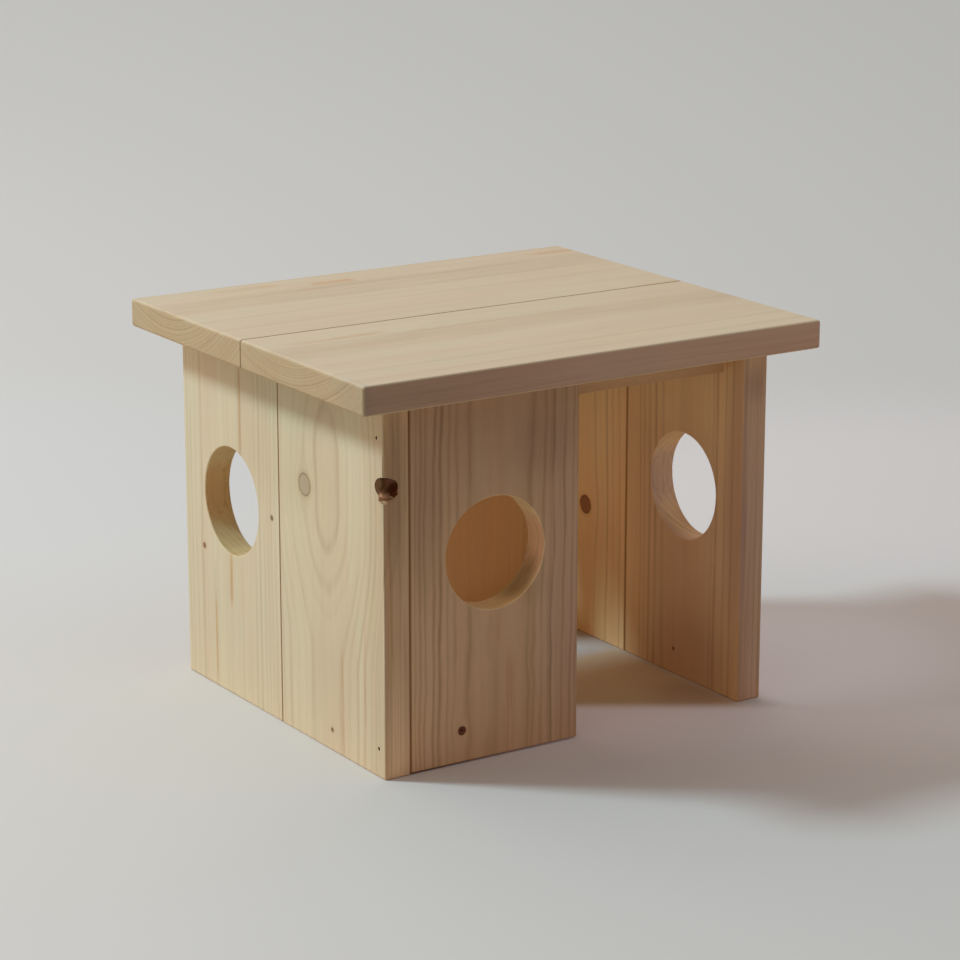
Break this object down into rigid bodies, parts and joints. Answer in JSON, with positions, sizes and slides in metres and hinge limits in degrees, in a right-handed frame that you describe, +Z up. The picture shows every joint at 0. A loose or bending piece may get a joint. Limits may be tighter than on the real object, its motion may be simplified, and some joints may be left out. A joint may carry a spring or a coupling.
{
  "type": "pet house",
  "caption": "Wooden house for a hamster or similar small pet: plank walls with round windows, open doorways front and back, and a plank roof that lifts off.",
  "frame": {"origin": "on the floor, in the middle of the house", "axes": "+X to the right along the front, +Y from the front to the back, +Z up"},
  "size_m": [0.33, 0.29, 0.248],
  "materials": {
    "wall_wood": "planed, unfinished pale spruce with fine vertical grain",
    "roof_wood": "planed, unfinished pale spruce with lengthways grain",
    "rail_wood": "sawn and planed pale spruce",
    "dowel_wood": "plain beech",
    "nail_steel": "dull dark steel",
    "screw_zinc": "bright zinc"
  },
  "bodies": {
    "house": {"left_wall_front_plank": "wall_wood", "left_wall_rear_plank": "wall_wood", "right_wall_front_plank": "wall_wood", "right_wall_rear_plank": "wall_wood", "front_plank": "wall_wood", "back_plank": "wall_wood", "front_rail": "rail_wood", "rear_rail": "rail_wood", "left_wall_dowels": "dowel_wood", "right_wall_dowels": "dowel_wood", "front_plank_nails": "nail_steel", "back_plank_nails": "nail_steel", "left_rail_nails": "nail_steel", "right_rail_nails": "nail_steel"},
    "roof": {"roof_front_plank": "roof_wood", "roof_rear_plank": "roof_wood", "roof_left_batten": "rail_wood", "roof_right_batten": "rail_wood", "roof_left_batten_screws": "screw_zinc", "roof_right_batten_screws": "screw_zinc"}
  },
  "joints": [
    {"name": "roof_lift", "type": "slide", "parent": "house", "child": "roof", "axis": [0, 0, 1], "range_m": [0, 0.04]}
  ]
}
